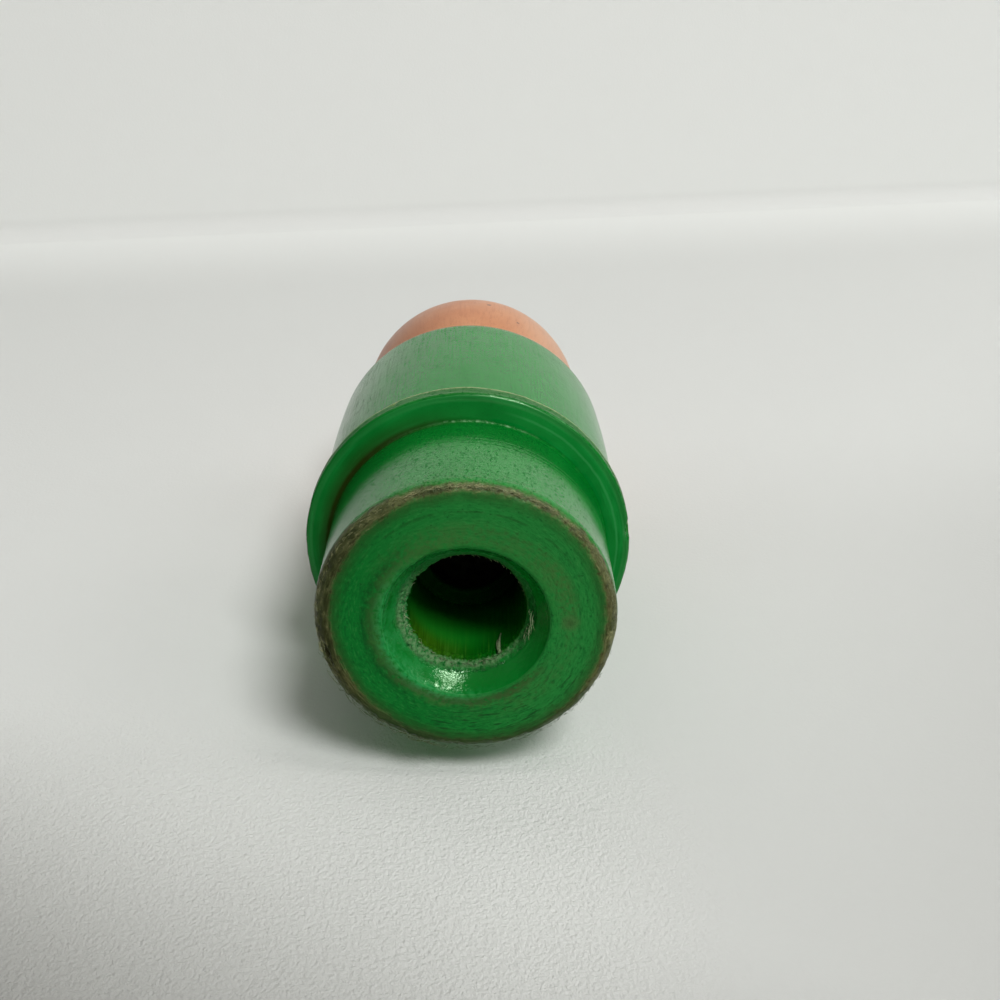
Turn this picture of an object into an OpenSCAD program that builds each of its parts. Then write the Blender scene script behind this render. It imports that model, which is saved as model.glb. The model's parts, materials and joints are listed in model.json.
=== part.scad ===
// Turned wooden peg doll: a flanged body that stands in a round seat or on a peg,
// and a ball head that turns on a steel pin driven up through the body.

/* [Base spigot] */
// Diameter of the plain spigot at the base
spigot_d = 22; // [19:0.1:23.5]
// Height of the spigot, up to the inner corner of the flange
spigot_h = 11.8; // [9:0.1:16]
// Radius worn onto the bottom edge
spigot_edge_r = 1; // [0.4:0.1:1.8]

/* [Peg bore] */
// Diameter of the blind bore that a peg goes into
bore_d = 8.9; // [8:0.1:9.6]
// Depth of the bore below the base
bore_depth = 11; // [8:0.1:14]
// Diameter of the countersink at the base
countersink_d = 12.2; // [11:0.1:15]
// Depth of the countersink
countersink_depth = 2.3; // [1.2:0.1:3.4]
// How far the countersink's flank is hollowed
countersink_sag = 0.15; // [0.05:0.05:0.3]

/* [Flange] */
// Diameter of the flange
flange_d = 26.1; // [25.6:0.1:30]
// How far the flange's underside slopes up from its inner corner to its rim
flange_rise = 0.7; // [0.2:0.1:1.5]
// Height of the flange's rim
flange_rim_h = 1.5; // [1:0.1:3]
// Radius worn onto the rim's lower edge
flange_edge_r = 0.35; // [0.1:0.05:0.45]
// Radius on the rim's upper edge, which the trunk protects
flange_top_edge_r = 0.1; // [0.05:0.05:0.45]

/* [Trunk] */
// Largest diameter of the barrel-shaped trunk
trunk_d = 24.9; // [23:0.1:25.4]
// Height of the trunk above the flange
trunk_h = 20.9; // [16:0.1:30]
// How far the barrel stands proud of its own ends
trunk_bulge = 0.3; // [0.05:0.05:0.5]
// Radius of the shoulder
shoulder_r = 3.5; // [1.5:0.1:5]

/* [Head] */
// Diameter of the ball head
head_d = 21.5; // [17:0.1:25]
// How deep the ball sits in the dished top of the trunk
head_sink = 0.95; // [0.6:0.05:1.4]
// Diameter of the flat that the ball stands on
head_flat_d = 5.4; // [4:0.1:6]
// Diameter of the small flat left on the crown where the ball was parted off
crown_flat_d = 2.4; // [1:0.1:4]
// Gap between the turning head and its seat
seat_gap = 0.1; // [0.05:0.05:0.2]

/* [Neck pin] */
// Diameter of the pin's shank
pin_d = 3; // [2:0.1:3.4]
// Length of the shank, point included
pin_l = 35; // [32:0.5:38]
// Length of the pin's point
pin_point_l = 3; // [1:0.1:5]
// Diameter of the pin's head
pin_head_d = 6.4; // [5:0.1:7]
// Thickness of the pin's head at its edge
pin_head_h = 0.8; // [0.5:0.1:1.2]
// Rise of the dome on the pin's head
pin_dome_h = 0.4; // [0.2:0.05:0.6]
// Radial running clearance of the shank in the body
pin_clearance = 0.05; // [0.02:0.01:0.09]

/* [Hidden] */
$fn = 96;

// How far a cut runs past the face that it opens
overrun = 2;

// Heights along the body, from the base up
flange_rim_z = spigot_h + flange_rise;
trunk_z = flange_rim_z + flange_rim_h;
body_h = trunk_z + trunk_h;

// Radius of the barrel's long arc, which passes through both ends of the trunk
barrel_r = (trunk_h * trunk_h / 4 + trunk_bulge * trunk_bulge) / (2 * trunk_bulge);

// The ball's centre, and the level of the flat that it stands on
head_r = head_d / 2;
head_z = body_h - head_sink + head_r;
head_flat_z = head_z - sqrt(head_r * head_r - head_flat_d * head_flat_d / 4);
crown_z = head_z + sqrt(head_r * head_r - crown_flat_d * crown_flat_d / 4);

// The pin's head lies in a counterbore in the bore's floor
counterbore_d = pin_head_d + 4 * pin_clearance;
counterbore_h = pin_head_h + pin_dome_h + 2 * seat_gap;
pin_bearing_z = bore_depth + counterbore_h - seat_gap;
pin_tip_z = pin_bearing_z + pin_l;

// Part of a turning's outline: a band from z0 to z1 out to radius r, its two outer
// corners rounded to r0 at z0 and r1 at z1. A radius of zero leaves a corner sharp.
module band(r, z0, z1, r0 = 0, r1 = 0) {
    difference() {
        translate([0, z0]) square([r, z1 - z0]);
        if (r0 > 0) corner_cut(r, z0, r0, 1);
        if (r1 > 0) corner_cut(r, z1, r1, -1);
    }
}

// What is turned away to round an outer corner at (r, z); up is 1 for a lower corner
module corner_cut(r, z, round_r, up) {
    translate([r, z]) mirror([0, up > 0 ? 0 : 1]) difference() {
        translate([-round_r, -overrun]) square([round_r + overrun, round_r + overrun]);
        translate([-round_r, round_r]) circle(round_r);
    }
}

// The sloping underside of the flange, as a triangle under its rim
module flange_slope() {
    polygon([
        [0, spigot_h],
        [spigot_d / 2, spigot_h],
        [flange_d / 2 - flange_edge_r, flange_rim_z],
        [0, flange_rim_z],
    ]);
}

// The trunk: a long barrel arc, closed by the rounded shoulder
module trunk_outline() {
    intersection() {
        band(trunk_d / 2, trunk_z - flange_edge_r, body_h, 0, shoulder_r);
        translate([trunk_d / 2 - barrel_r, trunk_z + trunk_h / 2]) circle(barrel_r, $fn = 720);
    }
}

// The hollow-flanked countersink: one arc through its mouth and the bore's rim
module countersink_cut() {
    flank_x = (countersink_d - bore_d) / 2;
    chord = norm([flank_x, countersink_depth]);
    cutter_r = (chord * chord / 4 + countersink_sag * countersink_sag) / (2 * countersink_sag);
    back_off = (cutter_r - countersink_sag) / chord;
    intersection() {
        translate([
            (countersink_d + bore_d) / 4 - back_off * countersink_depth,
            countersink_depth / 2 - back_off * flank_x,
        ]) circle(cutter_r, $fn = 240);
        translate([0, -overrun]) square([countersink_d, overrun + countersink_depth]);
    }
}

// The ball's outline right of its axis, grown by a gap, with no flats
module ball_outline(gap = 0) {
    intersection() {
        translate([0, head_z]) circle(head_r + gap, $fn = 240);
        translate([0, head_z - head_d]) square([head_d, 2 * head_d]);
    }
}

// Turned hardwood body, painted green: spigot, flange and trunk in one piece,
// bored from below for a peg and dished on top for the head
module body() {
    color("seagreen") rotate_extrude() difference() {
        union() {
            band(spigot_d / 2, 0, flange_rim_z, spigot_edge_r);
            flange_slope();
            band(flange_d / 2, flange_rim_z, trunk_z, flange_edge_r, flange_top_edge_r);
            trunk_outline();
        }
        countersink_cut();
        translate([0, -overrun]) square([bore_d / 2, bore_depth + overrun]);
        translate([0, bore_depth - overrun]) square([counterbore_d / 2, counterbore_h + overrun]);
        translate([0, bore_depth]) square([pin_d / 2 + pin_clearance, body_h]);
        intersection() {
            ball_outline(seat_gap);
            translate([0, head_flat_z - seat_gap]) square([head_d, head_d]);
        }
    }
}

// Turned ball head, flesh coloured: flat where it stands and where it was parted off,
// with a blind hole that grips the pin
module head() {
    color("burlywood") rotate_extrude() difference() {
        intersection() {
            ball_outline();
            translate([0, head_flat_z]) square([head_d, crown_z - head_flat_z]);
        }
        pin_shank_outline();
    }
}

// The pin's shank and point, from under its head to its tip
module pin_shank_outline() {
    polygon([
        [0, pin_bearing_z],
        [pin_d / 2, pin_bearing_z],
        [pin_d / 2, pin_tip_z - pin_point_l],
        [0, pin_tip_z],
    ]);
}

// Round-headed steel pin: driven up through the body and held fast in the head
module neck_pin() {
    dome_r = (pin_head_d * pin_head_d / 4 + pin_dome_h * pin_dome_h) / (2 * pin_dome_h);
    edge_z = pin_bearing_z - pin_head_h;
    color("silver") rotate_extrude() union() {
        pin_shank_outline();
        translate([0, edge_z]) square([pin_head_d / 2, pin_head_h]);
        intersection() {
            translate([0, edge_z - pin_dome_h + dome_r]) circle(dome_r, $fn = 240);
            translate([0, edge_z - pin_dome_h]) square([pin_head_d / 2, pin_dome_h]);
        }
    }
}

body();
head();
neck_pin();
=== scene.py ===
import json
import math

import bpy
from mathutils import Matrix, Vector


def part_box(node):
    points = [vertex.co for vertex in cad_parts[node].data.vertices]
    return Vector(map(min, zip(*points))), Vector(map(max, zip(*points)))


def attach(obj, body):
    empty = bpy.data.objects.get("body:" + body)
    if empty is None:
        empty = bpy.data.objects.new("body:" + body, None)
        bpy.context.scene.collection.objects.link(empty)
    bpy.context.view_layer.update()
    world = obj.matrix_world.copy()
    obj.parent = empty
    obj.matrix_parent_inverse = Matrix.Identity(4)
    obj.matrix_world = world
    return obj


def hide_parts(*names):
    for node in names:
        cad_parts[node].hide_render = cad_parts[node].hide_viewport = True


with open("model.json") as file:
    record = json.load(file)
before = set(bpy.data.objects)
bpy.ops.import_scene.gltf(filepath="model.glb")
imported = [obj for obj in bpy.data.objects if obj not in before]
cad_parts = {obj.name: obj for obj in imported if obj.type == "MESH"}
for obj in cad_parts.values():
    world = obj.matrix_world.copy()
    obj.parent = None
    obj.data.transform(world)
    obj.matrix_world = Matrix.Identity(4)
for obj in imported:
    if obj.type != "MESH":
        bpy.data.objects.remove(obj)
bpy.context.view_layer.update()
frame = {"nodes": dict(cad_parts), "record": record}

scene = bpy.context.scene

# The body is one hardwood turning: base spigot, flange and barrel trunk, with a countersunk
# blind bore for a peg below and a dish for the head on top. It is dipped in satin green
# paint, which play has worn off the base edge, the flange's rim and the shoulder.
MM = 0.001
steps_round = 360

# Sizes in millimetres, with heights measured up from the flat of the base
spigot_h = 11.8
flange_rim_z = 12.5
trunk_z = 14.0
trunk_r = 12.45
trunk_bulge = 0.3
shoulder_r = 3.5
base_edge_r = 1.0
flange_edge_r = 0.35
far_edge_r = 0.1
corner_r = 0.14
lip_r = 0.4
countersink_r = 6.1
countersink_depth = 2.3
countersink_hollow = 0.15
bore_depth = 11.0
counterbore_r = 3.3
counterbore_h = 1.4
pin_hole_r = 1.55
seat_gap = 0.1
head_r = 10.75
head_flat_r = 2.7

# Sizes that the part's own record and solids give, and those that follow from them
mount_size = {m["name"]: m["dims"] for m in frame["record"]["mounts"]}
spigot_r = mount_size["spigot"]["r_mm"]
bore_r = mount_size["peg_bore"]["r_mm"]
flange_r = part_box("body")[1].x / MM
body_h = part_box("body")[1].z / MM
head_flat_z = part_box("head")[0].z / MM
crown_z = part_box("head")[1].z / MM
head_z = head_flat_z + math.sqrt(head_r**2 - head_flat_r**2)
tool_step_r = bore_r + 0.5
tool_step_z = countersink_depth - 0.7


def straight(start, end, step):
    """Outline points from start to just before end, about a step apart, in millimetres."""
    count = max(1, round(math.dist(start, end) / step))
    return [tuple(a + (b - a) * i / count for a, b in zip(start, end)) for i in range(count)]


def arc(centre, radius, first, last, step):
    """Outline points round a centre, from the first angle to just before the last, in degrees."""
    count = max(2, round(abs(math.radians(last - first)) * radius / step))
    turns = [math.radians(first + (last - first) * i / count) for i in range(count)]
    return [(centre[0] + radius * math.cos(t), centre[1] + radius * math.sin(t)) for t in turns]


def barrel(z):
    """Radius of the barrel trunk at a height."""
    half = (body_h - trunk_z) / 2
    return trunk_r - trunk_bulge * ((z - trunk_z - half) / half) ** 2


def countersink_flank():
    """The countersink's flank from its mouth to the bore's rim, bowed out into the wood."""
    flank = []
    for r, z in straight((countersink_r, 0), (bore_r, countersink_depth), 0.09):
        share = z / countersink_depth
        bow = 4 * countersink_hollow * share * (1 - share)
        flank.append((r + bow * 0.81, z + bow * 0.58))
    return flank


def body_outline():
    """The turning's half outline as (radius, height), once round the wood."""
    # The dish, one gap wider than the ball that turns in it
    dish_r = head_r + seat_gap
    dish_z = head_flat_z - seat_gap
    dish_floor_r = math.sqrt(dish_r**2 - (head_z - dish_z) ** 2)
    dish_rim_r = math.sqrt(dish_r**2 - (head_z - body_h) ** 2)
    floor_turn = math.degrees(math.atan2(dish_z - head_z, dish_floor_r))
    rim_turn = math.degrees(math.atan2(body_h - head_z, dish_rim_r))
    points = straight((pin_hole_r, dish_z), (dish_floor_r, dish_z), 0.5)
    points += arc((0, head_z), dish_r, floor_turn, rim_turn, 0.3)

    # The shoulder and the trunk
    points += straight((dish_rim_r, body_h), (trunk_r - shoulder_r, body_h), 0.5)
    shoulder = arc((trunk_r - shoulder_r, body_h - shoulder_r), shoulder_r, 90, 0, 0.2)
    points += [(min(r, barrel(z)), z) for r, z in shoulder]
    side = straight((0, body_h - shoulder_r), (0, trunk_z + 0.1), 0.9)
    points += [(barrel(z), z) for _, z in side]

    # The flange, its face sloping in to a small fillet on the spigot
    points += straight((barrel(trunk_z), trunk_z), (flange_r - far_edge_r, trunk_z), 0.12)
    points += arc((flange_r - far_edge_r, trunk_z - far_edge_r), far_edge_r, 90, 0, 0.05)
    low = flange_rim_z + flange_edge_r
    points += straight((flange_r, trunk_z - far_edge_r), (flange_r, low), 0.12)
    points += arc((flange_r - flange_edge_r, low), flange_edge_r, 0, -90, 0.07)
    corner_z = spigot_h + 0.05
    points += straight((flange_r - flange_edge_r, flange_rim_z), (spigot_r + corner_r, corner_z), 0.16)
    points += arc((spigot_r + corner_r, corner_z - corner_r), corner_r, 90, 180, 0.03)

    # The spigot and the base, with finer steps near the edge that wears
    fine_from_z = 2.4
    fine_to_r = spigot_r - 1.6
    lip_centre_r = countersink_r + lip_r * 0.6
    points += straight((spigot_r, spigot_h - 0.4), (spigot_r, fine_from_z), 0.45)
    points += straight((spigot_r, fine_from_z), (spigot_r, base_edge_r), 0.14)
    points += arc((spigot_r - base_edge_r, base_edge_r), base_edge_r, 0, -90, 0.08)
    points += straight((spigot_r - base_edge_r, 0), (fine_to_r, 0), 0.12)
    points += straight((fine_to_r, 0), (lip_centre_r, 0), 0.2)

    # The countersink, the bore and the pin's hole, back up to the dish
    points += arc((lip_centre_r, lip_r), lip_r, 270, 216, 0.04)
    points += [point for point in countersink_flank() if point[1] > lip_r * 0.4]
    points += straight((bore_r, countersink_depth), (bore_r, countersink_depth + 1), 0.09)
    points += straight((bore_r, countersink_depth + 1), (bore_r, bore_depth), 0.35)
    points += straight((bore_r, bore_depth), (counterbore_r, bore_depth), 0.3)
    points += straight((counterbore_r, bore_depth), (counterbore_r, bore_depth + counterbore_h), 0.5)
    inner_z = bore_depth + counterbore_h
    points += straight((counterbore_r, inner_z), (pin_hole_r, inner_z), 0.6)
    points += straight((pin_hole_r, inner_z), (pin_hole_r, dish_z), 4)
    return points + points[:1]


class Field:
    """A number worked out at every point of a surface. Sums on it add nodes to its tree."""

    def __init__(self, socket):
        self.socket = socket
        self.tree = socket.id_data

    def math(self, operation, *others):
        made = self.tree.nodes.new("ShaderNodeMath")
        made.operation = operation
        for place, value in zip(made.inputs, (self, *others)):
            plug(value, place)
        return Field(made.outputs[0])

    def __add__(self, other):
        return self.math("ADD", other)

    def __sub__(self, other):
        return self.math("SUBTRACT", other)

    def __rsub__(self, other):
        return self * -1 + other

    def __mul__(self, other):
        return self.math("MULTIPLY", other)

    def __truediv__(self, other):
        return self.math("DIVIDE", other)

    __radd__ = __add__
    __rmul__ = __mul__

    def away(self, other):
        """How far it is from another number."""
        return (self - other).math("ABSOLUTE")

    def ramp(self, low, high):
        """A smooth rise from 0 at low to 1 at high, or a fall where low is the larger."""
        made = self.tree.nodes.new("ShaderNodeMapRange")
        made.interpolation_type = "SMOOTHSTEP"
        for name, value in (("Value", self), ("From Min", low), ("From Max", high)):
            plug(value, made.inputs[name])
        return Field(made.outputs["Result"])


def plug(value, place):
    """Puts a field, a socket or a plain value into a node's input."""
    if isinstance(value, Field):
        value = value.socket
    if isinstance(value, bpy.types.NodeSocket):
        place.id_data.links.new(value, place)
    else:
        place.default_value = value


def scaled(point, stretch):
    """A point's three numbers, each times its own stretch."""
    made = point.id_data.nodes.new("ShaderNodeVectorMath")
    made.operation = "MULTIPLY"
    plug(point, made.inputs[0])
    made.inputs[1].default_value = stretch
    return made.outputs[0]


def mottle(point, size, stretch=(1, 1, 1), detail=3.0, rough=0.55):
    """Even-grained noise about 0.5, with blotches of a size in millimetres."""
    made = point.id_data.nodes.new("ShaderNodeTexNoise")
    plug(scaled(point, stretch), made.inputs["Vector"])
    made.inputs["Scale"].default_value = 1 / (size * MM)
    made.inputs["Detail"].default_value = detail
    made.inputs["Roughness"].default_value = rough
    return Field(made.outputs["Fac"])


def place_on(point):
    """x, y, radius and height on a turning, in millimetres."""
    split = point.id_data.nodes.new("ShaderNodeSeparateXYZ")
    plug(point, split.inputs[0])
    x, y, z = (Field(axis) / MM for axis in split.outputs)
    return x, y, (x * x + y * y).math("SQRT"), z


def gap_to(r, z, ring_r, ring_z):
    """Distance in millimetres from a ring round the turning, or in x and y or z from a spot."""
    across = r - ring_r
    along = z - ring_z
    return (across * across + along * along).math("SQRT")


def on_ring(angle, radius, z):
    """The point of a ring at an angle in degrees, in metres."""
    turn = math.radians(angle)
    return Vector((radius * math.cos(turn), radius * math.sin(turn), z)) * MM


# Marks of play on the body, each as angle, radius, height, size across and depth
body_dents = [
    (347, 10.85, 0.35, 1.6, 0.7),
    (341, 10.75, 0.3, 0.9, 0.35),
    (298, 10.7, 0.25, 1.0, 0.25),
    (304, 10.75, 0.3, 0.7, 0.25),
    (311, 10.7, 0.3, 0.8, 0.22),
    (174, 13.15, 12.95, 1.5, 0.8),
    (171, 13.1, 13.4, 1.1, 0.4),
    (24, 10.9, 0.3, 0.8, 0.2),
    (82, 10.9, 0.3, 0.7, 0.16),
    (128, 10.9, 0.3, 0.8, 0.18),
    (216, 10.85, 0.35, 0.9, 0.22),
    (252, 10.8, 0.3, 0.7, 0.2),
    (64, 13.1, 13.6, 0.7, 0.15),
    (262, 13.1, 13.3, 0.9, 0.2),
    (20, 12.4, 32.4, 0.9, 0.12),
    (232, 12.3, 32.6, 1.1, 0.14),
]


def geometry_tree(name, inputs):
    """A Geometry Nodes tree with a geometry socket in and out, and named inputs."""
    tree = bpy.data.node_groups.new(name, "GeometryNodeTree")
    tree.interface.new_socket("Geometry", in_out="OUTPUT", socket_type="NodeSocketGeometry")
    for label, kind in (("Geometry", "Geometry"), *inputs.items()):
        tree.interface.new_socket(label, in_out="INPUT", socket_type="NodeSocket" + kind)
    return tree, tree.nodes.new("NodeGroupInput").outputs, tree.nodes.new("NodeGroupOutput")


def add(tree, kind, settings=None, **inputs):
    """A node of a tree, with its settings and its inputs by name, underscores for spaces."""
    made = tree.nodes.new(kind)
    for name, value in (settings or {}).items():
        setattr(made, name, value)
    for name, value in inputs.items():
        plug(value, made.inputs[name.replace("_", " ")])
    return made


def finish_tree(tree, geometry, material, way_out):
    """Ends a tree with real geometry that carries its material."""
    real = add(tree, "GeometryNodeRealizeInstances", Geometry=geometry).outputs[0]
    dressed = add(tree, "GeometryNodeSetMaterial", Geometry=real, Material=material).outputs[0]
    plug(dressed, way_out.inputs[0])


def lathe_tree():
    """Turns an outline of points into wood: a grid rolled round the axis, then worn."""
    inputs = {
        "Outline Points": "Int", "Steps Round": "Int", "Edge Wear": "Float",
        "Surface Wobble": "Float", "Material": "Material",
    }
    tree, given, way_out = geometry_tree("lathe_turning", inputs)
    columns = Field(given["Steps Round"]) + 1
    grid = add(tree, "GeometryNodeMeshGrid", Vertices_X=given["Outline Points"], Vertices_Y=columns)
    index = Field(add(tree, "GeometryNodeInputIndex").outputs[0])
    row = (index / columns + 0.0001).math("FLOOR")
    turn = (index - row * columns) / given["Steps Round"] * math.tau
    outline = add(tree, "GeometryNodeSampleIndex", {"data_type": "FLOAT_VECTOR"},
                  Geometry=given["Geometry"], Index=row,
                  Value=add(tree, "GeometryNodeInputPosition").outputs[0])
    split = add(tree, "ShaderNodeSeparateXYZ", Vector=outline.outputs[0]).outputs
    rolled = add(tree, "ShaderNodeCombineXYZ", X=Field(split["X"]) * turn.math("COSINE"),
                 Y=Field(split["X"]) * turn.math("SINE"), Z=split["Z"])
    turned = add(tree, "GeometryNodeSetPosition", Geometry=grid.outputs["Mesh"], Position=rolled.outputs[0])
    closed = add(tree, "GeometryNodeMergeByDistance", Geometry=turned.outputs[0], Distance=0.002 * MM)
    out = add(tree, "GeometryNodeInputNormal").outputs["Normal"]
    depth = body_wear(tree, given["Edge Wear"], given["Surface Wobble"])
    push = add(tree, "ShaderNodeVectorMath", {"operation": "SCALE"}, Vector=out, Scale=depth * -MM)
    worn = add(tree, "GeometryNodeSetPosition", Geometry=closed.outputs[0], Offset=push.outputs[0])
    smooth = add(tree, "GeometryNodeSetShadeSmooth", Geometry=worn.outputs[0])
    finish_tree(tree, smooth.outputs[0], given["Material"], way_out)
    return tree


def body_wear(tree, edge_wear, wobble):
    """How deep the surface is worn at each point, in millimetres."""
    point = add(tree, "GeometryNodeInputPosition").outputs[0]
    x, y, r, z = place_on(point)
    fine = mottle(point, 0.4, detail=4)
    coarse = mottle(point, 2.5)
    at_base_edge = gap_to(r, z, spigot_r, 0).ramp(1.3, 0.6)
    worn = at_base_edge * (fine * 0.22 + coarse * 0.2 - 0.13) * ((x - y).ramp(5, 13) * 0.8 + 1)
    at_rim = r.ramp(flange_r - 0.3, flange_r - 0.05)
    worn += at_rim * (mottle(point, 0.7) * 0.08 + coarse * 0.08 - 0.05)
    at_bore_rim = gap_to(r, z, bore_r, countersink_depth).ramp(1.1, 0.3)
    torn = (mottle(point, 0.26, detail=4) - 0.5) * 0.7 + (mottle(point, 1.1) - 0.6) * 0.6
    worn += at_bore_rim * torn * ((x - y) * 0.16 + 0.6).math("MINIMUM", 1.1)
    worn += gap_to(r, z, tool_step_r, tool_step_z).ramp(0.2, 0.02) * 0.08
    at_lip = gap_to(r, z, countersink_r, 0.1).ramp(0.7, 0.2)
    worn += at_lip * (coarse * 1.4 + fine * 0.5 - 0.9) * x.ramp(-4, 3) * 0.35
    for angle, radius, height, across, depth in body_dents:
        off = add(tree, "ShaderNodeVectorMath", {"operation": "DISTANCE"})
        plug(point, off.inputs[0])
        off.inputs[1].default_value = on_ring(angle, radius, height)
        reach = Field(off.outputs["Value"]) / MM + (fine - 0.5) * 0.9 * across
        worn += reach.ramp(across * 0.55, across * 0.1) * depth
    return worn * edge_wear + (coarse - 0.5) * wobble


def piece_from(name, points, edges, tree, settings):
    """Runs a tree on a few points and keeps what it makes as a plain mesh."""
    mesh = bpy.data.meshes.new(name)
    mesh.from_pydata(points, edges, [])
    piece = bpy.data.objects.new(name, mesh)
    scene.collection.objects.link(piece)
    modifier = piece.modifiers.new("make", "NODES")
    modifier.node_group = tree
    for item in tree.interface.items_tree:
        if item.in_out == "INPUT" and item.name in settings:
            value = settings[item.name]
            modifier[item.identifier] = float(value) if item.socket_type == "NodeSocketFloat" else value
    made = piece.evaluated_get(bpy.context.evaluated_depsgraph_get())
    piece.data = bpy.data.meshes.new_from_object(made)
    piece.modifiers.clear()
    piece.data.name = name
    return piece


def turning(name, outline, material, edge_wear, wobble):
    """A piece turned from an outline given in millimetres."""
    points = [(r * MM, 0, z * MM) for r, z in outline]
    edges = [(i, i + 1) for i in range(len(points) - 1)]
    settings = {
        "Outline Points": len(points), "Steps Round": steps_round, "Edge Wear": edge_wear,
        "Surface Wobble": wobble, "Material": material,
    }
    return piece_from(name, points, edges, lathe, settings)


def srgb(red, green, blue):
    """A colour as the eye reads it, 0 to 255, as the shader wants it."""
    levels = [level / 255 for level in (red, green, blue)]
    return tuple(v / 12.92 if v <= 0.04045 else ((v + 0.055) / 1.055) ** 2.4 for v in levels) + (1,)


def mix(amount, under, over):
    """One colour over another, by an amount from 0 to 1."""
    made = amount.tree.nodes.new("ShaderNodeMix")
    made.data_type = "RGBA"
    plug(amount, made.inputs[0])
    plug(under, made.inputs[6])
    plug(over, made.inputs[7])
    return made.outputs[2]


def finish_material(name, **sockets):
    """A new material and its shader, with the sockets that are the same all over."""
    material = bpy.data.materials.new(name)
    material.use_nodes = True
    shader = material.node_tree.nodes["Principled BSDF"]
    for label, value in sockets.items():
        shader.inputs[label.replace("_", " ")].default_value = value
    point = material.node_tree.nodes.new("ShaderNodeTexCoord").outputs["Object"]
    return material, shader, point


def bump(shader, height):
    """Gives a shader a relief, its height in millimetres."""
    made = add(shader.id_data, "ShaderNodeBump", Height=height, Distance=MM, Strength=1.0)
    plug(made.outputs[0], shader.inputs["Normal"])


def rings(level, spacing):
    """Noise that changes only with one number, such as the height: the turner's tool marks."""
    made = add(level.tree, "ShaderNodeTexNoise", {"noise_dimensions": "1D"}, W=level,
               Scale=1 / spacing, Detail=2.0)
    return Field(made.outputs["Fac"])


def brushed(x, y, r, z, across, along):
    """Noise drawn out round the axis, as a brush or a tool leaves it on a turning, in millimetres."""
    turns = spigot_r / along
    drawn = add(x.tree, "ShaderNodeCombineXYZ", X=x / r * turns, Y=y / r * turns, Z=(r - z) / across)
    made = add(x.tree, "ShaderNodeTexNoise", Vector=drawn.outputs[0], Scale=1.0, Detail=3.0, Roughness=0.6)
    return Field(made.outputs["Fac"])


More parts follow.
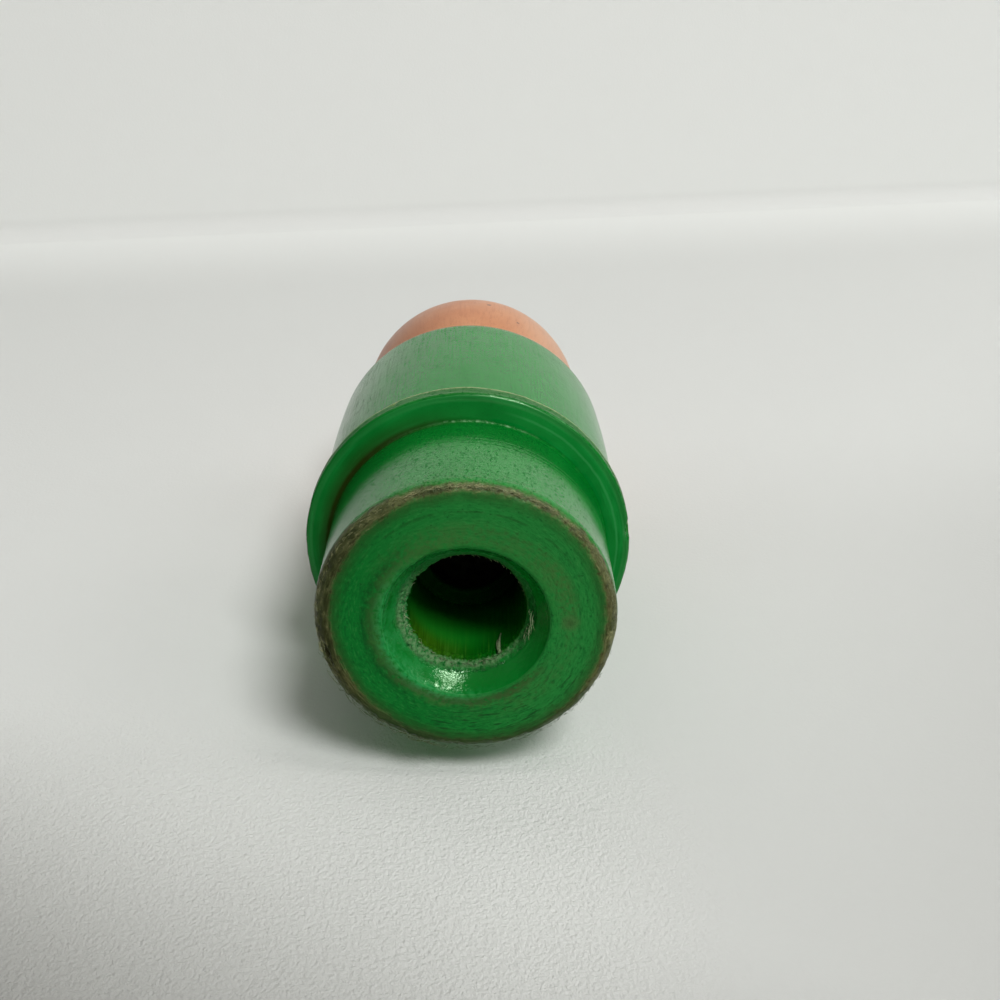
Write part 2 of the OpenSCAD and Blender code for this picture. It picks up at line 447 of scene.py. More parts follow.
def green_paint():
    """The body's paint: glossy where it was turned, dull on end grain, worn off the edges."""
    material, shader, point = finish_material("green_paint", Specular_Tint=(0.7, 1, 0.68, 1))
    x, y, r, z = place_on(point)

    # Mottles from coarse to fine, the wood's own grain and pores, and strokes round the axis
    cloud = mottle(point, 5)
    blotch = mottle(point, 1.3, detail=4)
    crumb = mottle(point, 0.42, detail=4, rough=0.7)
    speck = mottle(point, 0.13, detail=2)
    streak = mottle(point, 0.17, stretch=(1, 1, 0.04), detail=2, rough=0.5)
    pores = mottle(point, 0.21, stretch=(1, 1, 0.5), detail=2)
    dashes = brushed(x, y, r, z, 0.16, 0.6)
    sweeps = brushed(x, y, r, z, 0.5, 9)

    # Which part of the turning a point is on
    in_bore = r.ramp(bore_r + 0.25, bore_r + 0.1) * z.ramp(countersink_depth - 0.2, countersink_depth)
    in_bore *= z.ramp(body_h - 15, body_h - 16)
    in_countersink = r.ramp(countersink_r + 0.05, countersink_r - 0.1)
    in_countersink *= z.ramp(countersink_depth + 0.1, countersink_depth)
    on_base = z.ramp(0.3, 0.1) * (1 - in_countersink)
    on_flange_face = r.ramp(spigot_r + 0.08, spigot_r + 0.2)
    on_flange_face *= z.ramp(flange_rim_z + 0.1, flange_rim_z + 0.02)
    end_grain = (on_base + on_flange_face + in_bore).math("MINIMUM", 1)
    on_side = (1 - end_grain) * (1 - in_countersink)
    above_flange = z.ramp(trunk_z, trunk_z + 0.2)
    below_trunk = z.ramp(trunk_z + 0.2, trunk_z)

    # The paint of the sides: streaks along the trunk's grain, dark pores, painted light on the top and -x
    # side clear of the flange, painted shade by the flange
    grain_shows = on_side * (above_flange * 0.8 + 0.2) * 0.25
    colour = mix(cloud.ramp(0.35, 0.65), srgb(2, 110, 32), srgb(10, 121, 40))
    colour = mix(streak.ramp(0.42, 0.66) * grain_shows, colour, srgb(40, 146, 48))
    colour = mix(streak.ramp(0.5, 0.32) * grain_shows, colour, srgb(2, 96, 30))
    patches = (crumb - 0.5 + (blotch - 0.5) * 0.8).ramp(0.04, 0.2)
    colour = mix(on_side * patches * 0.35, colour, srgb(4, 84, 28))
    colour = mix(on_side * pores.ramp(0.57, 0.7) * 0.5, colour, srgb(4, 76, 26))
    # Painted light: paler green on the top and -x side of the spigot and trunk
    painted_light_clear_of_flange = (z.ramp(8.5, 6.5) + above_flange) * on_side
    colour = mix(painted_light_clear_of_flange * (y - x).ramp(2, 14) * 0.35, colour, srgb(16, 150, 48))
    # Painted shade: darker on the spigot next to the flange
    painted_shade_by_flange = z.ramp(7.5, 9.5) * z.ramp(12.2, 11.9) * on_side
    colour = mix(painted_shade_by_flange * 0.3, colour, srgb(0, 84, 22))

    # The base: brushed round, scratched, hazy in rings round the countersink, knocked once
    colour = mix(on_base * 0.7, colour, srgb(12, 116, 44))
    colour = mix(on_base * (x * -1 + y * 0.4).ramp(-8, 6) * 0.6, colour, srgb(48, 140, 64))
    colour = mix(on_base * dashes.ramp(0.52, 0.32) * (y.ramp(8, 2) * 0.25 + 0.3), colour, srgb(8, 84, 32))
    colour = mix(on_base * dashes.ramp(0.52, 0.7) * 0.35, colour, srgb(62, 142, 70))
    colour = mix(on_base * sweeps.ramp(0.44, 0.34) * blotch.ramp(0.35, 0.6) * (y.ramp(7, 1) * 0.3 + 0.15),
                 colour, srgb(14, 86, 36))
    colour = mix(on_base * crumb.ramp(0.56, 0.72) * 0.6, colour, srgb(10, 72, 30))
    colour = mix(on_base * pores.ramp(0.6, 0.72) * 0.4, colour, srgb(8, 60, 26))
    scratches = brushed(x, y, r, z, 0.12, 1.6).ramp(0.54, 0.63) * (y + x * 0.4 + blotch * 4).ramp(-2, -7)
    colour = mix(on_base * scratches * 0.7, colour, srgb(12, 46, 20))
    haze = r.away(blotch * 1.2 + 6.1).ramp(0.7, 0.1) * (x * 0.12 - y * 0.06).ramp(-0.8, 0.8)
    haze += r.away(7.2).ramp(1.4, 0.4) * (y * 0.2 - x * 0.06).ramp(0, 1.2) * 0.6
    haze += r.away(7.6).ramp(1.0, 0.2) * (x * -0.16 + y * -0.06).ramp(0, 1.2) * 0.4
    hazed = on_base * haze * (crumb * 0.6 + cloud * 0.4).ramp(0.38, 0.58)
    colour = mix((hazed * 0.7).math("MINIMUM", 0.6), colour, srgb(70, 108, 54))
    brown_ring = r.away(blotch * 0.5 + 6.3).ramp(0.5, 0.1) * (y * -1).ramp(2, 6) * crumb.ramp(0.3, 0.5)
    colour = mix(on_base * brown_ring * 0.7, colour, srgb(64, 78, 44))
    dark_ring = r.away(blotch * 0.6 + 6.85).ramp(0.8, 0.2) * x.ramp(3, 6) * crumb.ramp(0.3, 0.55)
    colour = mix(on_base * dark_ring * 0.45, colour, srgb(12, 62, 22))
    thin_ring = r.away(sweeps * 0.5 + 8.7).ramp(0.17, 0.03) * y.ramp(-2, 7) * blotch.ramp(0.4, 0.6)
    colour = mix(on_base * thin_ring * 0.45, colour, srgb(26, 66, 26))
    knock = gap_to(x, y, -7.5, 0.1) + (crumb - 0.5) * 1.2
    colour = mix(on_base * knock.ramp(0.85, 0.35) * 0.45, colour, srgb(80, 104, 60))
    colour = mix(on_base * knock.ramp(0.4, 0.15) * 0.35, colour, srgb(40, 60, 30))

    # The flange's face, with one painted highlight line near the spigot
    faced = mix(cloud.ramp(0.3, 0.7), srgb(0, 106, 36), srgb(8, 122, 46))
    colour = mix(on_flange_face * 0.75, colour, faced)
    colour = mix(on_flange_face * sweeps.ramp(0.5, 0.62) * 0.4, colour, srgb(24, 140, 60))
    colour = mix(on_flange_face * speck.ramp(0.6, 0.7) * 0.3, colour, srgb(4, 70, 24))
    # Painted highlight: a pale line on the flange's face, on its lit side
    painted_highlight_line = r.away(blotch * 0.15 + 11.85).ramp(0.14, 0.03) * (y - x * 2).ramp(16, 22)
    colour = mix(on_flange_face * painted_highlight_line * 0.28, colour, srgb(66, 158, 92))

    # The bore: painted light, yellow-green on the lit side of its mouth and bright green further in, then
    # painted shade, dark deeper in
    bore_with_painted_light = mix(x.ramp(-1, 3) * y.ramp(0, -3), srgb(2, 94, 12), srgb(48, 98, 6))
    colour = mix(in_bore, colour, bore_with_painted_light)
    colour = mix(in_bore * streak.ramp(0.5, 0.7) * 0.35, colour, srgb(70, 128, 40))
    colour = mix(in_bore * streak.ramp(0.5, 0.36) * 0.3, colour, srgb(4, 48, 6))
    # Painted light: bright green part way into the bore on its lit side
    painted_glow = in_bore * z.ramp(3.5, 6) * (x * 0.8 + y * -0.3).ramp(-2.5, 1)
    colour = mix(painted_glow * 0.7, colour, srgb(16, 150, 36))
    # Painted shade: the bore goes dark deeper in
    deep = in_bore * (z + (blotch - 0.5) * 1.5 + y * 0.3 - x * 0.2).ramp(6.5, 12)
    colour = mix(deep, colour, srgb(3, 3, 2))

    # The countersink: a painted sheen on its lip and on one flank, dark in the step of the tool
    lip_sheen = gap_to(r, z, countersink_r, 0.05).ramp(0.9, 0.1) * (x - y * 0.5).ramp(-1, 6)
    colour = mix(lip_sheen * crumb.ramp(0.35, 0.6) * 0.5, colour, srgb(54, 166, 92))
    painted_sheen_flank = in_countersink * x.ramp(0, 5) * (blotch * 0.6 + crumb * 0.4).ramp(0.35, 0.6)
    colour = mix(painted_sheen_flank * 0.6, colour, srgb(46, 150, 78))
    tool_step = gap_to(r, z, tool_step_r, tool_step_z) + (crumb - 0.5) * 0.2
    colour = mix(tool_step.ramp(0.2, 0.05) * (1 - in_bore) * 0.75, colour, srgb(4, 52, 22))

    # Bare wood: fibres drawn round the turning, pale and dirty in turn, the pale ones more on top as partly
    # a painted highlight, with painted shade on the +x side, still greenish below
    fibre = brushed(x, y, r, z, 0.09, 1.3)
    bare = mix((fibre + (blotch - 0.5) * 0.5).ramp(0.34, 0.66), srgb(66, 74, 42), srgb(104, 110, 70))
    # More pale fibres on top: partly real fibres, partly a painted highlight
    bare = mix(fibre.ramp(0.58, 0.7) * crumb.ramp(0.42, 0.58) * (y.ramp(3, 9) * 0.4 + 0.5), bare,
               srgb(164, 162, 116))
    bare = mix(fibre.ramp(0.42, 0.32) * 0.4, bare, srgb(42, 54, 26))
    bare = mix(cloud.ramp(0.45, 0.6) * 0.3, bare, srgb(98, 86, 54))
    bare = mix(crumb.ramp(0.46, 0.34) * 0.55, bare, srgb(44, 42, 26))
    bare = mix(crumb.ramp(0.6, 0.7) * 0.4, bare, srgb(146, 144, 108))
    # Painted shade: darker bare wood on the +x side
    bare = mix((x + y * 0.3).ramp(5, 10) * 0.35, bare, srgb(40, 44, 26))
    bare = mix((y * -1).ramp(4, 9) * (blotch * 0.5 + 0.45), bare, srgb(46, 78, 42))

    # Wear: ragged to bare wood at the base edge, rubbed at the flange's rim and the shoulder
    ragged = (blotch - 0.5) * 1.1 + (crumb - 0.5) * 1.2 + (speck - 0.5) * 0.6
    dusty = (z + ragged * 3).ramp(3.5, 0.6) * on_side
    colour = mix(dusty * crumb.ramp(0.45, 0.62) * 0.3, colour, srgb(104, 116, 76))
    edge = gap_to(r, z, spigot_r - 0.25, 0.3) + ragged * 0.6 - x.ramp(0, 10) * 0.2
    edge += (y * 0.8 - x * 0.2).ramp(1, 9) * 0.36 - (x - y).ramp(7, 13) * 0.3
    worn = edge.ramp(1.0, 0.5)
    fringe = edge.ramp(1.8, 0.8) * (1 - worn) * on_base
    colour = mix(fringe * 0.65, colour, srgb(42, 72, 32))
    rim = flange_r - r + z.away(13.4) * 0.25 + ragged * 0.15
    rubbed = rim.ramp(0.3, 0.1) * z.ramp(trunk_z + 0.05, trunk_z - 0.1)
    worn = worn.math("MAXIMUM", rubbed * 0.15)
    colour = mix(worn, colour, bare)
    colour = mix(rubbed * 0.4, colour, srgb(46, 104, 46))
    far_rim = gap_to(r, z, flange_r - 0.1, trunk_z - 0.05) + (crumb - 0.5) * 0.5
    colour = mix(far_rim.ramp(0.34, 0.14) * crumb.ramp(0.3, 0.45) * 0.85, colour, srgb(158, 174, 118))
    shoulder = gap_to(r, z, barrel(32.2) - 0.1, 32.3) + (speck - 0.5) * 0.8
    colour = mix(shoulder.ramp(0.4, 0.1) * 0.7, colour, srgb(120, 132, 92))

    # The bore's rim, torn by the peg: frayed pale on one side, dark in its hollows
    bore_rim = gap_to(r, z, bore_r, countersink_depth) + (crumb - 0.5) * 1.3 + (blotch - 0.5) * 0.8
    bore_rim += x.ramp(0, 4) * -0.3
    torn = bore_rim.ramp(0.8, 0.3) * (1 - in_bore)
    frayed = torn * (x * 0.6 - y).ramp(-2.5, 3)
    colour = mix(frayed * crumb.ramp(0.35, 0.6) * 0.75, colour, srgb(132, 166, 120))
    colour = mix(torn * crumb.ramp(0.42, 0.3) * 0.6, colour, srgb(8, 60, 24))

    # Where the gloss is broken: flecks and pores on the spigot, open grain on the trunk, and on the
    # spigot's +x side a duller gloss with painted shade in its colour
    flecks = (crumb * 0.55 + dashes * 0.45 + (blotch - 0.5) * 0.15).ramp(0.54, 0.62)
    dull_and_shaded = (flecks * 0.93).math("MAXIMUM", pores.ramp(0.56, 0.64) * 0.9)
    dull_and_shaded = dull_and_shaded.math("MAXIMUM", x.ramp(3, 9) * 0.8) * below_trunk
    trunk_grain = streak.ramp(0.42, 0.66) * 0.36 + blotch.ramp(0.42, 0.66) * pores.ramp(0.44, 0.6) * 0.32
    dull_and_shaded += above_flange * trunk_grain * (x.ramp(-8, 2) * 0.5 + 0.5)
    # Darker where the gloss is broken, and on the spigot's +x side as painted shade
    colour = mix(dull_and_shaded * on_side * (1 - worn) * 0.45, colour, srgb(6, 92, 34))
    facing = Field(add(x.tree, "ShaderNodeLayerWeight", Blend=0.5).outputs["Facing"])
    dull_and_shaded += above_flange * facing.ramp(0.6, 0.9) * (x.away(0).ramp(11, 2) * 0.25 + 0.52)

    # The corner under the flange: dirt and painted shade, more towards +x, and a few painted glints
    corner = gap_to(r, z, spigot_r + 0.05, spigot_h)
    colour = mix(on_flange_face * corner.ramp(1.6, 0.2) * x.ramp(-3, 10) * 0.7, colour, srgb(34, 56, 12))
    colour = mix(corner.ramp(0.5, 0.1) * x.ramp(-3, 9) * 0.85, colour, srgb(38, 36, 6))
    painted_glints = corner.ramp(0.16, 0.04) * (y - x.away(-1.5)).ramp(6, 9) * crumb.ramp(0.48, 0.6)
    colour = mix(painted_glints * 0.45, colour, srgb(140, 190, 140))
    plug(colour, shader.inputs["Base Color"])

    # The gloss: most in the countersink and on the flange's lower edge, least on end grain
    lip = gap_to(r, z, flange_r - flange_edge_r, flange_rim_z + flange_edge_r)
    glossy = lip.ramp(0.6, 0.42) * z.ramp(13.0, 12.8)
    torn_zone = bore_rim.ramp(0.95, 0.6) * (1 - in_bore)
    shine = 0.5 - end_grain * 0.42 - worn * 0.1 - rubbed * 0.3 + glossy * 0.3 - torn_zone * 0.2
    shine += in_countersink * (1 - torn_zone) * 0.5
    dulled = on_side * z.ramp(trunk_z, 12) * z.ramp(5.5, 8.5) * (x * x).ramp(9, 80)
    shine += dulled * -0.4 - corner.ramp(0.4, 0.15) * blotch.ramp(0.6, 0.4) * 0.35
    lip_ring = gap_to(r, z, countersink_r + 0.2, 0.1).ramp(0.5, 0.2)
    shine = shine.math("MAXIMUM", 0) * (1 - dull_and_shaded.math("MINIMUM", 0.94) * on_side) * (1 - lip_ring * 0.7)
    plug(shine, shader.inputs["Specular IOR Level"])
    rough = 0.16 + end_grain * 0.4 + worn * 0.28 + rubbed * 0.2 - in_countersink * 0.07 + torn_zone * 0.35
    rough += (blotch - 0.5) * 0.08 + corner.ramp(0.35, 0.1) * 0.35 + lip_ring * 0.2
    plug(rough, shader.inputs["Roughness"])

    # The relief: marks of the tool, two fine grooves on the spigot, and the torn wood
    relief = on_side * rings(z, 0.5) * 0.004
    grooves = z.away(8.35).ramp(0.16, 0.04) + z.away(7.7).ramp(0.16, 0.04)
    relief += grooves * (y - x + blotch * 3).ramp(11, 16.5) * on_side * -0.02
    relief += above_flange * streak * 0.0015
    relief += on_base * (dashes * 0.03 + sweeps * 0.05)
    relief += (crumb - 0.5) * (on_side * 0.006 + in_countersink * 0.025 + 0.01 + torn_zone * 0.3)
    relief += in_countersink * (blotch * 0.055 + dashes * 0.02)
    relief += worn * ((fibre - 0.5) * 0.08 + (crumb - 0.5) * 0.07)
    bump(shader, relief)
    return material


lathe = lathe_tree()
body = turning("painted_body", body_outline(), green_paint(), edge_wear=1.0, wobble=0.03)
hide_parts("body")
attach(body, "doll_body")


# Torn fibres of the same wood stand along the worn base edge and the chewed rim of the bore,
# with a few longer splinters: fine bent blades, fast at one end, thinly painted or bare.
def chance(tree, low, high, seed):
    """A random number for each point of a tree."""
    made = tree.nodes.new("FunctionNodeRandomValue")
    made.inputs[2].default_value = low
    made.inputs[3].default_value = high
    plug(seed, made.inputs["Seed"])
    return Field(made.outputs[1])


fibre_sizes = (
    "From Angle", "To Angle", "Radius", "Height", "Spread", "Length", "Thickness", "Lift", "Rise",
)


def fibre_tree():
    """Strews bent blades along part of a ring, most of them lying round it."""
    inputs = {"Count": "Int", **dict.fromkeys(fibre_sizes, "Float"), "Seed": "Int", "Material": "Material"}
    tree, given, way_out = geometry_tree("wood_fibres", inputs)

    # Where each blade stands, a little off the ring
    seed = Field(given["Seed"])
    share = chance(tree, 0, 1, seed + 1)
    span = Field(given["To Angle"]) - given["From Angle"]
    angle = (share * span + given["From Angle"]).math("RADIANS")
    spread = Field(given["Spread"])
    radius = chance(tree, -1, 1, seed + 2) * spread + given["Radius"]
    height = chance(tree, -1, 1, seed + 3) * spread + given["Height"]
    root = add(tree, "ShaderNodeCombineXYZ", X=angle.math("COSINE") * radius * MM,
               Y=angle.math("SINE") * radius * MM, Z=height * MM).outputs[0]
    points = add(tree, "GeometryNodePoints", Count=given["Count"], Position=root)

    # The way it points: round the ring either way, lifted off it by chance, raised by a rise
    lift = Field(given["Lift"])
    inward = chance(tree, -1, 1, seed + 4) * lift
    along = chance(tree, -1, 1, seed + 5) * lift + given["Rise"]
    sense = chance(tree, -1, 1, seed + 6).math("SIGN")
    turned_x = angle.math("SINE") * sense * -1 + angle.math("COSINE") * inward
    turned_y = angle.math("COSINE") * sense + angle.math("SINE") * inward
    course = add(tree, "ShaderNodeCombineXYZ", X=turned_x, Y=turned_y, Z=along).outputs[0]
    facing = add(tree, "FunctionNodeAlignRotationToVector", {"axis": "Z"}, Vector=course).outputs[0]

    # One blade, bent a little and thinning to its tip, then a copy at each point
    spine = add(tree, "GeometryNodeCurveQuadraticBezier", Resolution=4, Start=(0, 0, 0),
                Middle=(0.16, 0, 0.5), End=(0, 0, 1))
    along_it = Field(add(tree, "GeometryNodeSplineParameter").outputs["Factor"])
    thinning = 1 - along_it * along_it * 0.85
    taper = add(tree, "GeometryNodeSetCurveRadius", Curve=spine.outputs[0], Radius=thinning)
    section = add(tree, "GeometryNodeCurvePrimitiveCircle", Resolution=4, Radius=given["Thickness"])
    blade = add(tree, "GeometryNodeCurveToMesh", Curve=taper.outputs[0], Profile_Curve=section.outputs[0],
                Fill_Caps=True, Scale=thinning)
    length = chance(tree, 0.4, 1, seed + 7) * given["Length"] * MM
    sized = add(tree, "ShaderNodeCombineXYZ", X=MM, Y=MM, Z=length).outputs[0]
    strewn = add(tree, "GeometryNodeInstanceOnPoints", Points=points.outputs[0], Instance=blade.outputs[0],
                 Rotation=facing, Scale=sized)
    finish_tree(tree, strewn.outputs[0], given["Material"], way_out)
    return tree


def fibre_wood():
    """Torn wood with rests of paint: greener round the bore, darker on the side it lies on."""
    material, shader, point = finish_material("fibre_wood", Roughness=0.6)
    _, y, r, _ = place_on(point)
    tone = mottle(point, 0.5).ramp(0.35, 0.65)
    at_edge = mix(tone, srgb(98, 112, 66), srgb(164, 162, 116))
    at_bore = mix(tone, srgb(106, 146, 96), srgb(176, 188, 146))
    colour = mix(r.ramp(7.5, 6.5), at_edge, at_bore)
    colour = mix((y * -1).ramp(0, 7) * 0.85, colour, srgb(56, 74, 42))
    plug(colour, shader.inputs["Base Color"])
    return material


fibre_material = fibre_wood()
fibres = fibre_tree()
# Each lot as its name, its count, and then its sizes in the order of fibre_sizes
fibre_lots = [
    ("rim_fuzz_side", 90, -60, 50, 4.55, 2.2, 0.14, 0.45, 0.022, 0.9, 0),
    ("rim_fuzz_low", 110, 235, 310, 4.6, 2.15, 0.14, 0.45, 0.022, 0.9, 0),
    ("rim_fuzz_far", 26, 176, 204, 4.8, 1.84, 0.16, 1.5, 0.03, 0.5, -2.4),
    ("rim_fuzz_top", 60, 30, 170, 4.46, 2.28, 0.05, 0.22, 0.014, 0.9, 0),
    ("bore_fleck", 4, 235.9, 236.7, 4.4, 2.2, 0.03, 3.9, 0.12, 0.04, 16),
    ("edge_fibres", 420, 0, 360, 10.76, 0.24, 0.12, 0.55, 0.012, 0.3, 0),
    ("edge_fibres_top", 150, 70, 128, 10.8, 0.24, 0.1, 0.7, 0.016, 0.3, 0),
    ("low_splinters", 70, 284, 336, 10.5, 0.06, 0.2, 1.1, 0.02, 0.2, 0),
    ("nick_splinters", 14, 340, 352, 10.55, 0.2, 0.14, 0.8, 0.022, 0.4, 0),
]
for number, (name, count, *sizes) in enumerate(fibre_lots):
    settings = dict(zip(fibre_sizes, sizes), Count=count, Seed=20 * number, Material=fibre_material)
    tuft = piece_from(name, [(0, 0, 0)], [], fibres, settings)
    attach(tuft, "doll_body")


# The neck pin is a round-headed steel pin in the floor of the bore: driven up through the
# body and fast in the head. It is drawn wire, dull and darkened with age and dirt, and darker still as
# painted shade of the bore's floor.
def pin_steel():
    """Dull dark steel in uneven tones."""
    material, shader, point = finish_material("pin_steel", Metallic=1.0)
    blotch = mottle(point, 0.7, detail=4)
    colour = mix(blotch.ramp(0.35, 0.65), srgb(40, 36, 32), srgb(22, 17, 13))
    plug(colour, shader.inputs["Base Color"])
    plug(0.45 + blotch * 0.3, shader.inputs["Roughness"])
    bump(shader, blotch * 0.03)
    return material


pin = frame["nodes"]["neck_pin"]
pin.material_slots[0].material = pin_steel()


# The head is a ball turned from the same wood, with a flat to stand on, a smaller flat on
# the crown where it was parted off, and a blind hole for the pin. It is painted flesh colour.
pin_r = 1.5
pin_point_h = 3.0
# Dark specks on the back of the head, each as across, height from the middle, and size
head_specks = [(-1.76, 0.12, 0.3), (2.9, 3.4, 0.16), (-4.6, -2.2, 0.18), (0.8, 6.1, 0.14)]
# The face, measured from the ball's middle: two dots, and the lower part of a ring
eye_x = 3.0
eye_up = 1.2
eye_r = 0.62
smile_down = 0.4
smile_r = 3.2
smile_top = -2.5


def head_outline():
    """The ball's half outline as (radius, height), from the hole's end round to the crown."""
    flat_turn = math.degrees(math.atan2(head_flat_z - head_z, head_flat_r))
    crown_r = math.sqrt(head_r**2 - (crown_z - head_z) ** 2)
    crown_turn = math.degrees(math.atan2(crown_z - head_z, crown_r))
    tip_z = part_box("neck_pin")[1].z / MM
    points = [(0, tip_z)]
    points += straight((pin_r, tip_z - pin_point_h), (pin_r, head_flat_z), 2.5)
    points += straight((pin_r, head_flat_z), (head_flat_r, head_flat_z), 0.4)
    points += arc((0, head_z), head_r, flat_turn, crown_turn, 0.18)
    points += straight((crown_r, crown_z), (0, crown_z), 0.3)
    return points + [(0, crown_z)]


def flesh_paint():
    """The head's paint: thin over the grain, with painted shade on one side and painted light on the other,
    darker round the seat, with the face.
    """
    material, shader, point = finish_material("flesh_paint", Coat_Weight=0.3, Coat_Roughness=0.35)
    x, y, r, z = place_on(point)
    cloud = mottle(point, 4)
    blotch = mottle(point, 0.9, detail=4)
    speck = mottle(point, 0.14, detail=2)
    grain = mottle(point, 0.3, stretch=(1, 1, 0.08), detail=4, rough=0.65)
    colour = mix(cloud.ramp(0.3, 0.7), srgb(196, 128, 86), srgb(206, 142, 100))
    colour = mix(grain.ramp(0.45, 0.7) * 0.5, colour, srgb(178, 108, 70))
    colour = mix(speck.ramp(0.68, 0.76) * 0.6, colour, srgb(110, 62, 42))
    colour = mix(speck.ramp(0.34, 0.26) * 0.5, colour, srgb(222, 170, 130))
    # Painted shade on the +x side, painted light on the -x side
    colour = mix(x.ramp(0, 9) * y.ramp(-4, 2) * 0.6, colour, srgb(140, 84, 54))
    colour = mix(x.ramp(-2, -9) * y.ramp(-4, 2) * 0.4, colour, srgb(224, 190, 160))
    seat = gap_to(r, z, 8.9, body_h) + (blotch - 0.5) * 0.5
    colour = mix(seat.ramp(0.9, 0.1) * 0.5, colour, srgb(128, 78, 50))
    for across, height, size in head_specks:
        spot = gap_to(x, z, across, head_z + height) + (speck - 0.5) * 0.3
        colour = mix(spot.ramp(size, size * 0.4) * y.ramp(0, 2) * 0.8, colour, srgb(92, 54, 38))

    # The face is on the front alone, and its outlines are a little shaky
    front = y.ramp(0, -2)
    shaky = (blotch - 0.5) * 0.25 + (speck - 0.5) * 0.1
    eyes = gap_to(x.math("ABSOLUTE"), z - head_z - eye_up, eye_x, 0) + shaky
    eyes = eyes.ramp(eye_r, eye_r - 0.1)
    smile = gap_to(x, z, 0, head_z - smile_down).away(smile_r) + shaky
    smile = smile.ramp(0.24, 0.16) * (z - head_z).ramp(smile_top, smile_top - 0.3)
    painted = front * eyes.math("MAXIMUM", smile)
    colour = mix(front * smile, colour, srgb(128, 34, 26))
    colour = mix(front * eyes, colour, srgb(24, 18, 16))
    plug(colour, shader.inputs["Base Color"])
    plug(0.42 + (blotch - 0.5) * 0.2 - painted * 0.15, shader.inputs["Roughness"])
    bump(shader, grain * 0.015 + rings(z, 0.4) * 0.01 + (speck - 0.5) * 0.01 + painted * 0.03)
    return material


head = turning("painted_head", head_outline(), flesh_paint(), edge_wear=0.0, wobble=0.03)
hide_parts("head")
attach(head, "doll_head")


# The studio is a pale table that the doll lies on, seen from the base end, its far end
# swept up into a wall, and a level floor under the upright doll for the other views.
camera_at = Vector((-1.40, 47.12, -81.05)) * MM
camera_looks = Vector((-0.0112, -0.4180, 0.9084))
camera_top = Vector((0, 0.9085, 0.4180))
side = camera_looks.cross(camera_top).normalized()
up = side.cross(camera_looks).normalized()
camera = bpy.data.cameras.new("camera")
camera.sensor_width = 36
camera.lens = 46.8
camera.clip_start = 0.001
camera.clip_end = 20
eye = bpy.data.objects.new("camera", camera)
scene.collection.objects.link(eye)
eye.location = camera_at
eye.rotation_mode = "QUATERNION"
eye.rotation_quaternion = Matrix((side, up, -camera_looks)).transposed().to_quaternion()
scene.camera = eye

# The table rises a little along z to touch the doll's flange, and its wall slants along x
table_y = -13.56
lean = 0.0367
slant = 0.21
wall_z = 165.0
sweep_r = 3.0
floor_z = -0.05
stage_reach = 900


def stage_material(name, colour, shade=0, wall_glow=0, relief=0):
    """Matt pale card. It is clear from behind and to shadow rays, so that it hides nothing."""
    material, shader, point = finish_material(name, Roughness=0.75)
    tree = material.node_tree
    x, y, _, z = place_on(point)

    # Painted shade beside and under the doll and along the wall's foot, painted light close to the camera
    painted_shade = ((x * 0.5 - z).ramp(6, 44) + (x * -1 - z * 0.6).ramp(8, 80) * 0.4) * shade
    painted_shade += (x * -1).ramp(2, 16) * z.ramp(70, 35) * shade * 0.14
    foot = gap_to(z + x * slant, y, wall_z - 1.5, table_y + lean * wall_z + 1.5)
    painted_shade += foot.ramp(3, 0.5) * shade * 0.2
    near = x.ramp(-20, -6) * z.ramp(16, -8)
    card = mix(near * shade * 0.25, colour, srgb(238, 240, 235))
    plug(mix(painted_shade, card, srgb(146, 146, 142)), shader.inputs["Base Color"])
    rays = add(tree, "ShaderNodeLightPath").outputs

    # The table alone has a grain, and a far end that glows to the camera and in reflections: painted light
    if relief:
        grain = mottle(point, 0.34, detail=3) + mottle(point, 0.16, detail=2) * 0.4
        bump(shader, grain * (near * 0.9 + 0.1) * relief)
        seen = Field(rays["Is Camera Ray"]).math("MAXIMUM", rays["Is Glossy Ray"])
        glow = (z + x * slant + y * 0.2).ramp(wall_z - 40, wall_z) * seen * wall_glow
        plug(glow, shader.inputs["Emission Strength"])
        shader.inputs["Emission Color"].default_value = srgb(250, 252, 248)

    behind = add(tree, "ShaderNodeNewGeometry").outputs["Backfacing"]
    clear = Field(behind).math("MAXIMUM", rays["Is Shadow Ray"])
    see_through = add(tree, "ShaderNodeBsdfTransparent")
    both = add(tree, "ShaderNodeMixShader", Fac=clear)
    plug(shader.outputs[0], both.inputs[1])
    plug(see_through.outputs[0], both.inputs[2])
    plug(both.outputs[0], tree.nodes["Material Output"].inputs["Surface"])
    return material


def stage_piece(name, corners, faces, material, smooth):
    """Stands a mesh in the studio, its corners in metres."""
    mesh = bpy.data.meshes.new(name)
    mesh.from_pydata(corners, [], faces)
    mesh.materials.append(material)
    for face in mesh.polygons:
        face.use_smooth = smooth
    piece = bpy.data.objects.new(name, mesh)
    scene.collection.objects.link(piece)
    return piece


def sheet(name, rows, width, slope, material):
    """A pale sheet swept sideways along x from points (y, z), in millimetres."""
    corners = [(x * MM, y * MM, (z - x * slope) * MM) for y, z in rows for x in (-width / 2, width / 2)]
    faces = [(2 * i, 2 * i + 1, 2 * i + 3, 2 * i + 2) for i in range(len(rows) - 1)]
    return stage_piece(name, corners, faces, material, True)


def room(name, half, material):
    """A closed room round everything, its walls a distance from the middle, in millimetres."""
    ends = (-half * MM, half * MM)
    corners = [(x, y, z) for x in ends for y in ends for z in ends]
    faces = [(0, 2, 3, 1), (4, 5, 7, 6), (0, 1, 5, 4), (2, 6, 7, 3), (0, 4, 6, 2), (1, 3, 7, 5)]
    return stage_piece(name, corners, faces, material, False)


def backdrop_material():
    """An even pale tone, seen by the camera only."""
    material, shader, _ = finish_material("backdrop_pale", Base_Color=(0, 0, 0, 1), Roughness=1.0)
    shader.inputs["Specular IOR Level"].default_value = 0
    shader.inputs["Emission Color"].default_value = srgb(212, 214, 209)
    shader.inputs["Emission Strength"].default_value = 1
    material.cycles.emission_sampling = "NONE"
    return material


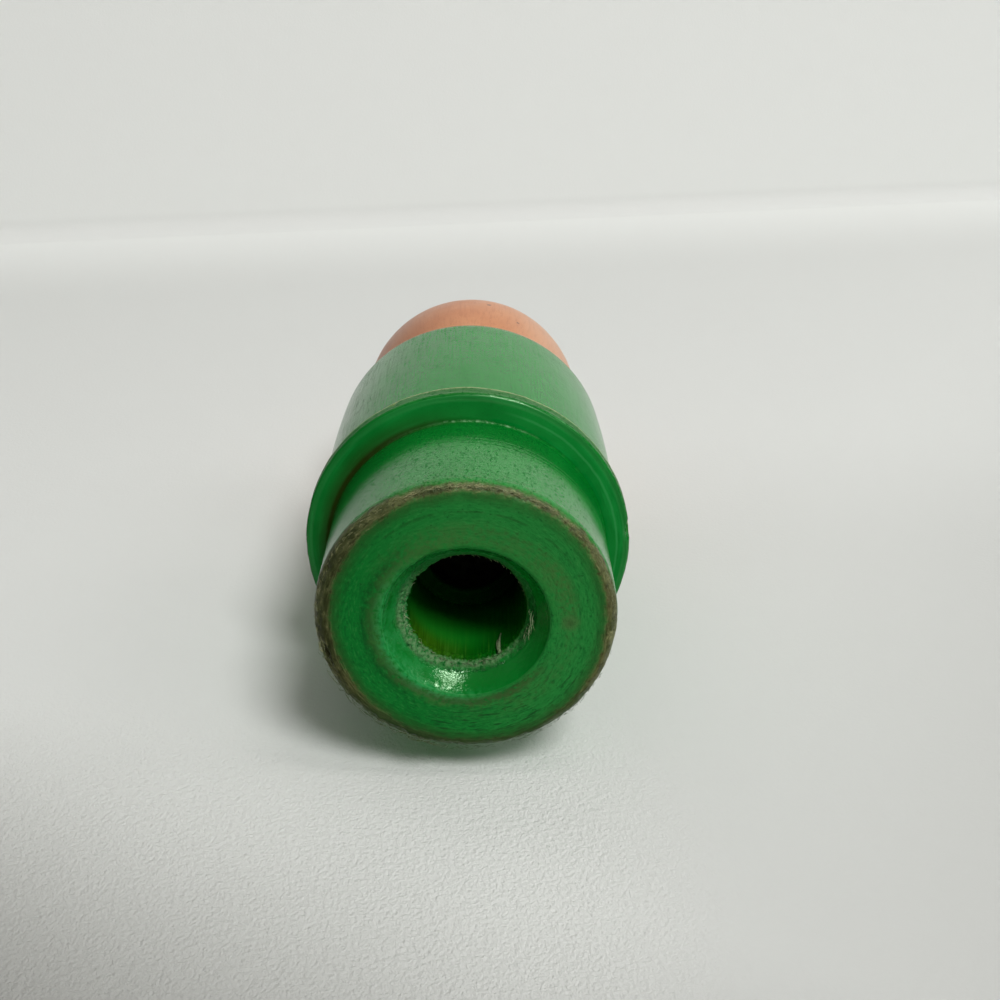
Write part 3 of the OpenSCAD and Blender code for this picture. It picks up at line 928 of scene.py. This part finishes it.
corner_y = table_y + lean * (wall_z - sweep_r)
sweep = arc((wall_z - sweep_r, corner_y + sweep_r), sweep_r, 0, -90, 0.3)
table_rows = [(stage_reach, wall_z)] + [(y, z) for z, y in sweep]
table_rows += [(table_y + lean * z, z) for z in (wall_z - sweep_r, -stage_reach)]
table_white = stage_material("table_white", srgb(218, 220, 217), shade=1, wall_glow=0.13, relief=0.19)
sheet("table", table_rows, 3000, slant, table_white)
floor_rows = [(-stage_reach, floor_z), (stage_reach, floor_z)]
floor_white = stage_material("floor_white", srgb(222, 222, 217))
floor = sheet("floor", floor_rows, 2 * stage_reach, 0, floor_white)
floor.visible_diffuse = False
floor.visible_glossy = False
backdrop = room("backdrop", 1700, backdrop_material())
for ray in ("diffuse", "glossy", "transmission", "volume_scatter", "shadow"):
    setattr(backdrop, "visible_" + ray, False)


# The lamps hang over the table and behind the camera, and the room fills in evenly
doll_middle = Vector((0, 0, 25)) * MM


def lamp(name, place, wide, power, deep=0, tint=(1, 1, 1)):
    """A soft lamp at a place in millimetres, aimed at the doll: round, or wide by deep."""
    light = bpy.data.lights.new(name, "AREA")
    light.shape = "RECTANGLE" if deep else "DISK"
    light.size = wide * MM
    light.size_y = (deep or wide) * MM
    light.energy = power
    light.color = tint
    made = bpy.data.objects.new(name, light)
    scene.collection.objects.link(made)
    made.location = Vector(place) * MM
    made.rotation_mode = "QUATERNION"
    made.rotation_quaternion = (doll_middle - made.location).to_track_quat("-Z", "Y")


lamp("key", (-180, 560, -80), 180, 0.32, deep=60, tint=(1, 0.98, 0.95))
lamp("window", (-250, 650, -400), 290, 4.5)
lamp("side_window", (-560, 420, 60), 300, 0.6)
lamp("front_fill", (110, -330, 520), 300, 1.7)
world = bpy.data.worlds.new("room")
world.use_nodes = True
world.node_tree.nodes["Background"].inputs["Color"].default_value = (1.0, 0.91, 0.85, 1)
world.node_tree.nodes["Background"].inputs["Strength"].default_value = 0.145
scene.world = world
scene.view_settings.view_transform = "Standard"
